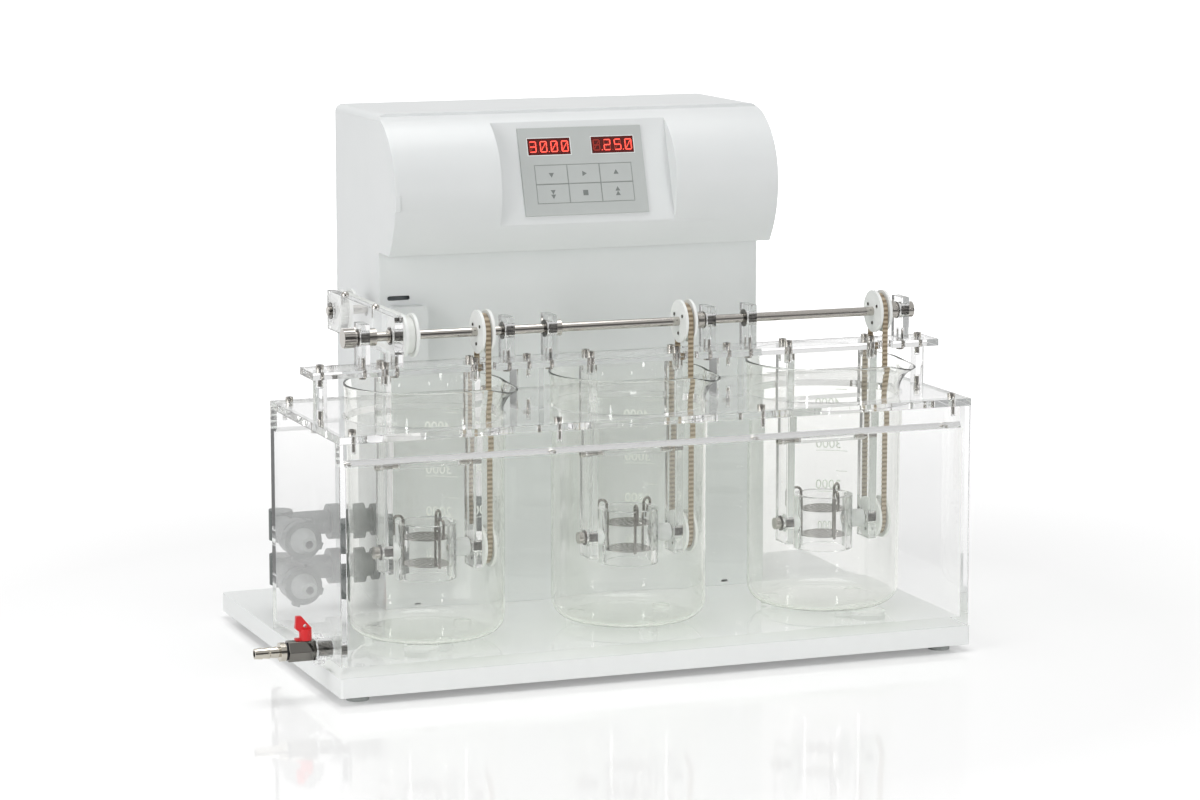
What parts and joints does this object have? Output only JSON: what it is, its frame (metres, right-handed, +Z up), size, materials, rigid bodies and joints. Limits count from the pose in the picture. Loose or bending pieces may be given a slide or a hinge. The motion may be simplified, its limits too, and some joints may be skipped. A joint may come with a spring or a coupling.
{
  "type": "suppository disintegration tester",
  "caption": "Bench tester with a clear water bath, glass beakers, belt-turned clear sleeves holding perforated cages, and a white tower with a tilted keypad.",
  "frame": {"origin": "on the table, under the middle of the object's outline, drain tail included", "axes": "+X along the bath to the right, +Y to the back, +Z up"},
  "size_m": [0.808, 0.47, 0.59],
  "materials": {
    "white_paint": "smooth gloss white powder coat",
    "white_board": "smooth white plastic board",
    "rubber_feet": "matt grey rubber",
    "clear_acrylic": "clear polished acrylic sheet",
    "beaker_glass": "clear borosilicate glass",
    "stainless_steel": "ground stainless steel",
    "bush_steel": "dark bearing steel",
    "belt_rubber": "beige-brown polyurethane toothed belt",
    "white_belt": "white polyurethane toothed belt",
    "white_plastic": "white acetal",
    "keypad_foil": "grey satin membrane foil",
    "display_window": "dark red tinted window",
    "motor_metal": "grey cast aluminium housing",
    "circuit_board": "green circuit board",
    "grey_pvc": "grey moulded plastic",
    "nickel_brass": "nickel-plated brass",
    "red_plastic": "red moulded plastic",
    "black_plastic": "black moulded plastic"
  },
  "bodies": {
    "frame": {"tower_shell": "white_paint", "tower_back": "white_paint", "gearbox_cover": "white_paint", "base_plate": "white_board", "base_feet": "rubber_feet", "tank_floor": "clear_acrylic", "tank_long_walls": "clear_acrylic", "tank_end_walls": "clear_acrylic", "cover_rails": "clear_acrylic", "cover_plate": "clear_acrylic", "bridge_plate": "clear_acrylic", "bridge_supports": "clear_acrylic", "shaft_uprights": "clear_acrylic", "drive_plate": "clear_acrylic", "hangers": "clear_acrylic", "hanger_ties": "clear_acrylic", "beaker_1": "beaker_glass", "beaker_2": "beaker_glass", "beaker_3": "beaker_glass", "clear_work_screws": "stainless_steel", "bushings": "bush_steel", "cell_belts": "belt_rubber", "drive_belt": "white_belt", "keypad_panel": "keypad_foil", "display_windows": "display_window", "gear_motor": "motor_metal", "bath_pump": "motor_metal", "power_supply": "motor_metal", "control_board": "circuit_board", "bath_pipes": "grey_pvc", "inlet_couplings": "grey_pvc", "drain_valve": "nickel_brass", "mains_inlet": "black_plastic"},
    "shaft": {"drive_shaft": "stainless_steel", "shaft_knob": "stainless_steel", "shaft_collars": "stainless_steel", "drive_pulley": "white_plastic", "shaft_pulleys": "white_plastic"},
    "motor_output": {"motor_shaft": "stainless_steel", "motor_pulley": "white_plastic"},
    "cell_1": {"sleeve_1": "clear_acrylic", "trunnion_1": "stainless_steel", "cell_pulley_1": "white_plastic", "cage_1": "stainless_steel"},
    "cell_2": {"sleeve_2": "clear_acrylic", "trunnion_2": "stainless_steel", "cell_pulley_2": "white_plastic", "cage_2": "stainless_steel"},
    "cell_3": {"sleeve_3": "clear_acrylic", "trunnion_3": "stainless_steel", "cell_pulley_3": "white_plastic", "cage_3": "stainless_steel"},
    "drain_handle": {"valve_lever": "red_plastic"},
    "mains_switch": {"power_rocker": "black_plastic"},
    "key_1_pad": {"key_1": "keypad_foil"},
    "key_2_pad": {"key_2": "keypad_foil"},
    "key_3_pad": {"key_3": "keypad_foil"},
    "key_4_pad": {"key_4": "keypad_foil"},
    "key_5_pad": {"key_5": "keypad_foil"},
    "key_6_pad": {"key_6": "keypad_foil"}
  },
  "joints": [
    {"name": "shaft_spin", "type": "hinge", "parent": "frame", "child": "shaft", "pos_m": [0.04, -0.1215, 0.37], "axis": [1, 0, 0], "continuous": true},
    {"name": "motor_spin", "type": "hinge", "parent": "frame", "child": "motor_output", "pos_m": [-0.2, 0.096, 0.37], "axis": [1, 0, 0], "continuous": true},
    {"name": "cell_1_spin", "type": "hinge", "parent": "frame", "child": "cell_1", "pos_m": [-0.1935, -0.1215, 0.1375], "axis": [1, 0, 0], "continuous": true},
    {"name": "cell_2_spin", "type": "hinge", "parent": "frame", "child": "cell_2", "pos_m": [0.04, -0.1215, 0.1375], "axis": [1, 0, 0], "continuous": true},
    {"name": "cell_3_spin", "type": "hinge", "parent": "frame", "child": "cell_3", "pos_m": [0.2735, -0.1215, 0.1375], "axis": [1, 0, 0], "continuous": true},
    {"name": "drain_lever_turn", "type": "hinge", "parent": "frame", "child": "drain_handle", "pos_m": [-0.3485, -0.19, 0.0638], "axis": [0, 0, 1], "range_deg": [0, 90]},
    {"name": "mains_switch_rock", "type": "hinge", "parent": "frame", "child": "mains_switch", "pos_m": [-0.07, 0.223, 0.089], "axis": [1, 0, 0], "range_deg": [0, 20]},
    {"name": "key_1_press", "type": "slide", "parent": "frame", "child": "key_1_pad", "axis": [0, 0.9537, -0.3007], "range_m": [0, 0.0005], "stiffness_N_per_m": 2000},
    {"name": "key_2_press", "type": "slide", "parent": "frame", "child": "key_2_pad", "axis": [0, 0.9537, -0.3007], "range_m": [0, 0.0005], "stiffness_N_per_m": 2000},
    {"name": "key_3_press", "type": "slide", "parent": "frame", "child": "key_3_pad", "axis": [0, 0.9537, -0.3007], "range_m": [0, 0.0005], "stiffness_N_per_m": 2000},
    {"name": "key_4_press", "type": "slide", "parent": "frame", "child": "key_4_pad", "axis": [0, 0.9537, -0.3007], "range_m": [0, 0.0005], "stiffness_N_per_m": 2000},
    {"name": "key_5_press", "type": "slide", "parent": "frame", "child": "key_5_pad", "axis": [0, 0.9537, -0.3007], "range_m": [0, 0.0005], "stiffness_N_per_m": 2000},
    {"name": "key_6_press", "type": "slide", "parent": "frame", "child": "key_6_pad", "axis": [0, 0.9537, -0.3007], "range_m": [0, 0.0005], "stiffness_N_per_m": 2000}
  ],
  "couplings": [
    {"joint": "motor_spin", "follows": "shaft_spin", "ratio": 1},
    {"joint": "cell_1_spin", "follows": "shaft_spin", "ratio": 1},
    {"joint": "cell_2_spin", "follows": "shaft_spin", "ratio": 1},
    {"joint": "cell_3_spin", "follows": "shaft_spin", "ratio": 1}
  ]
}
